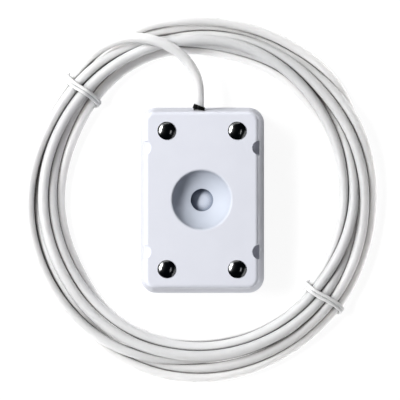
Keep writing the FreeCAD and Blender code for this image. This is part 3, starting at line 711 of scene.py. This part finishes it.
# Floor, lamps and world

FLOOR_RADIUS = 5.0
FLOOR_SIDES = 64
FLOOR_ROUGHNESS = 0.9
# The floor's tones as they light the object, and as they show in the picture and in reflections
LIT_TONES = (0.30, 0.32)
SHOWN_TONES = (0.13, 0.14)

# The floor also gives light to the object as a bounce card does: from place, to place, from
# glow, to glow. Along Y it is strong before the box's near wall and weak behind its far wall,
# and along X there is a little everywhere but on the key's side. Under the ring of cable and
# outside it, the ring's glow takes over.
NEAR_GLOW = (-0.046, -0.030, 1.35, 0.0)
FAR_GLOW = (0.030, 0.046, 0.0, 0.12)
SIDE_GLOW = (-0.036, -0.014, 0.0, 0.05)
RING_PLACE = (0.048, 0.060, 0.0, 1.0)
RING_GLOW = 2.3
# What the floor adds to its own tone where it shows, which makes the background white
SHOWN_GLOW = 0.92

# Soft boxes: azimuth and elevation in degrees, distance, width and height in metres, watts
LAMPS = {
    "key": (162.0, 46.0, 1.3, 0.74, 0.22, 20.2),
    "key_wings": (160.0, 46.0, 1.25, 1.25, 0.24, 4.2),
    "far_card": (108.0, 36.0, 1.3, 1.5, 0.2, 1.0),
    "side_window": (-14.0, 62.0, 1.4, 0.6, 0.06, 0.4),
    "low_card": (-26.0, 31.0, 1.3, 1.2, 0.22, 0.7),
}
WORLD_COLOUR = (0.002, 0.004, 0.007)


def add_shown(n):
    """A node that is 1 for what the camera sees, also by way of metal and glass, and else 0."""
    path = n.add("LightPath")
    direct = n.add("Math", operation="ADD", use_clamp=True)
    shown = n.add("Math", operation="ADD", use_clamp=True)
    n.link(path, "Is Camera Ray", direct, 0)
    n.link(path, "Is Glossy Ray", direct, 1)
    n.link(direct, 0, shown, 0)
    n.link(path, "Is Transmission Ray", shown, 1)
    return shown


def add_glow(n):
    """A node with the light that the floor gives to the object at each place."""
    place = n.add("TexCoord")
    across = n.add("SeparateXYZ")
    n.link(place, "Object", across, "Vector")
    reach = n.add("VectorMath", operation="LENGTH")
    n.link(place, "Object", reach, 0)
    ends = n.add("Math", operation="ADD")
    sides = n.add("Math", operation="ADD")
    n.link(ends, 0, sides, 0)
    total = n.add("Mix", data_type="FLOAT")
    n.link(sides, 0, total, VALUE_A)
    total.inputs[VALUE_B].default_value = RING_GLOW
    for source, output, values, target, entry in (
        (across, "Y", NEAR_GLOW, ends, 0),
        (across, "Y", FAR_GLOW, ends, 1),
        (across, "X", SIDE_GLOW, sides, 1),
        (reach, "Value", RING_PLACE, total, MIX_FACTOR),
    ):
        n.link(n.spread(source, output, values), "Result", target, entry)
    return total


def make_floor():
    """A wide white floor that keeps the object's shadow."""
    bpy.ops.mesh.primitive_circle_add(
        vertices=FLOOR_SIDES, radius=FLOOR_RADIUS, fill_type="NGON"
    )
    floor = bpy.context.object
    floor.name = "floor"
    n = Nodes("floor")
    shown = add_shown(n)
    mottling = n.noise(scale=3.0, detail=2.0)
    tone = n.add("Mix", data_type="RGBA")
    for tones, entry in ((LIT_TONES, COLOUR_A), (SHOWN_TONES, COLOUR_B)):
        ramp = n.ramp(mottling, zip((0.0, 1.0), ([grey] * 3 for grey in tones)))
        n.link(ramp, "Color", tone, entry)
    n.link(shown, 0, tone, MIX_FACTOR)
    n.link(tone, COLOUR_OUT, n.shader, "Base Color")
    glow = n.add("Mix", data_type="FLOAT")
    n.link(shown, 0, glow, MIX_FACTOR)
    n.link(add_glow(n), 0, glow, VALUE_A)
    glow.inputs[VALUE_B].default_value = SHOWN_GLOW
    n.link(glow, VALUE_OUT, n.shader, "Emission Strength")
    n.set(Emission_Color=(1.0, 1.0, 1.0, 1.0), Roughness=FLOOR_ROUGHNESS, Specular_IOR_Level=0.0)
    floor.data.materials.append(n.material)


def make_lamp(name, azimuth, elevation, distance, width, height, power):
    """A rectangular soft box that faces the object from an azimuth about Z and an elevation."""
    data = bpy.data.lights.new(name, "AREA")
    data.shape = "RECTANGLE"
    data.size = width
    data.size_y = height
    data.energy = power
    lamp = bpy.data.objects.new(name, data)
    a, e = math.radians(azimuth), math.radians(elevation)
    away = Vector((math.cos(a) * math.cos(e), math.sin(a) * math.cos(e), math.sin(e)))
    lamp.location = away * distance
    lamp.rotation_euler = (-away).to_track_quat("-Z", "Y").to_euler()
    bpy.context.scene.collection.objects.link(lamp)


def make_world():
    """A world so dark that the lamps and the floor alone light the object."""
    world = bpy.data.worlds.new("world")
    world.use_nodes = True
    sky = world.node_tree.nodes["Background"]
    sky.inputs["Color"].default_value = (*WORLD_COLOUR, 1.0)
    bpy.context.scene.world = world


make_floor()
for name, lamp in LAMPS.items():
    make_lamp(name, *lamp)
make_world()
bpy.context.scene.view_settings.view_transform = "Standard"
